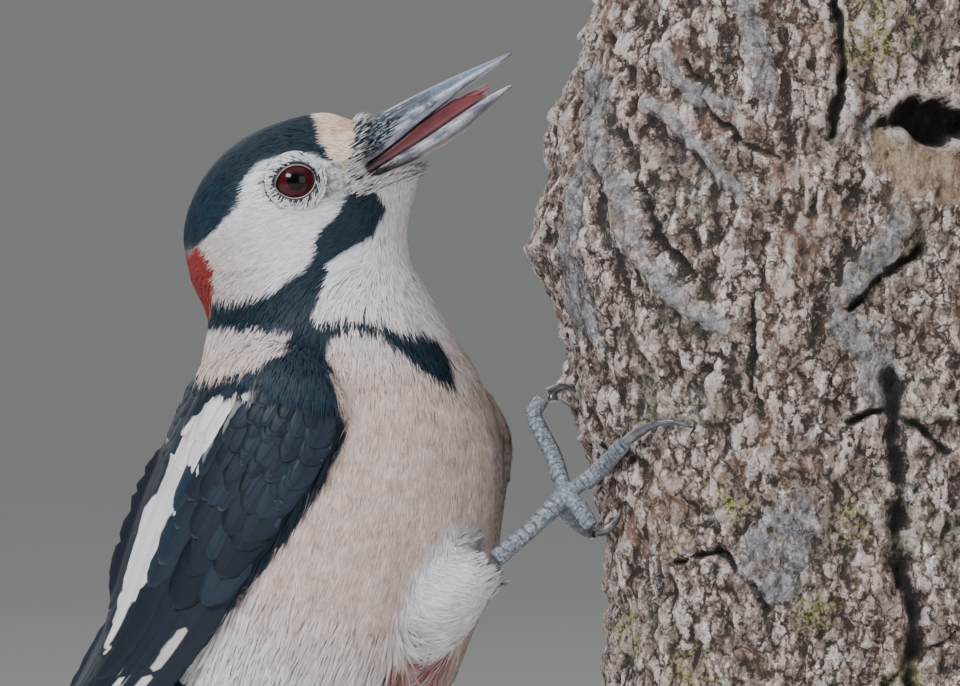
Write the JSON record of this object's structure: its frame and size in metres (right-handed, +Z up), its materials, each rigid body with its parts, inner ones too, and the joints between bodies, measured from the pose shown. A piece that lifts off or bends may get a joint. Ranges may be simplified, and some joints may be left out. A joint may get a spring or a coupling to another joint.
{
  "type": "great spotted woodpecker display model",
  "caption": "Life-size woodpecker clinging upright to a short cut length of trunk, bill raised and slightly open, held by a flat base with rods.",
  "frame": {"origin": "centre of the whole model's footprint, on the underside of the stand's base", "axes": "+Z up the trunk, +X from the bird's back towards the trunk, -Y the side towards which the bird's right side faces"},
  "size_m": [0.2, 0.12, 0.262],
  "materials": {
    "plumage_black": "glossy blue-black contour feathers",
    "plumage_white": "soft off-white feathers",
    "plumage_buff": "soft pinkish buff breast feathers",
    "plumage_red": "soft scarlet vent feathers",
    "bill_horn": "satin slate-grey horn",
    "mouth_skin": "moist pink-red mouth skin",
    "eye_gloss": "wet dark-crimson iris under a clear cornea",
    "leg_scale": "scaly blue-grey leg skin",
    "claw_horn": "polished dark horn",
    "bark": "rough fissured grey-brown bark, sawn at both ends",
    "base_board": "satin dark-stained hardwood",
    "rod_steel": "brushed steel"
  },
  "bodies": {
    "root": {"bill_lower": "bill_horn", "bill_upper": "bill_horn", "claw_left_hind": "claw_horn", "claw_left_inner": "claw_horn", "claw_left_middle": "claw_horn", "claw_left_outer": "claw_horn", "claw_right_hind": "claw_horn", "claw_right_inner": "claw_horn", "claw_right_middle": "claw_horn", "claw_right_outer": "claw_horn", "eye_left": "eye_gloss", "eye_right": "eye_gloss", "head": "plumage_black", "neck": "plumage_white", "perch_log": "bark", "stand_base": "base_board", "stand_rod_1": "rod_steel", "stand_rod_2": "rod_steel", "tail": "plumage_black", "tarsus_left": "leg_scale", "tarsus_right": "leg_scale", "thigh_left": "plumage_white", "thigh_right": "plumage_white", "toe_left_hind": "leg_scale", "toe_left_inner": "leg_scale", "toe_left_middle": "leg_scale", "toe_left_outer": "leg_scale", "toe_right_hind": "leg_scale", "toe_right_inner": "leg_scale", "toe_right_middle": "leg_scale", "toe_right_outer": "leg_scale", "tongue": "mouth_skin", "torso": "plumage_buff", "undertail": "plumage_red", "uppertail": "plumage_black", "wing_left": "plumage_black", "wing_right": "plumage_black"}
  },
  "joints": []
}
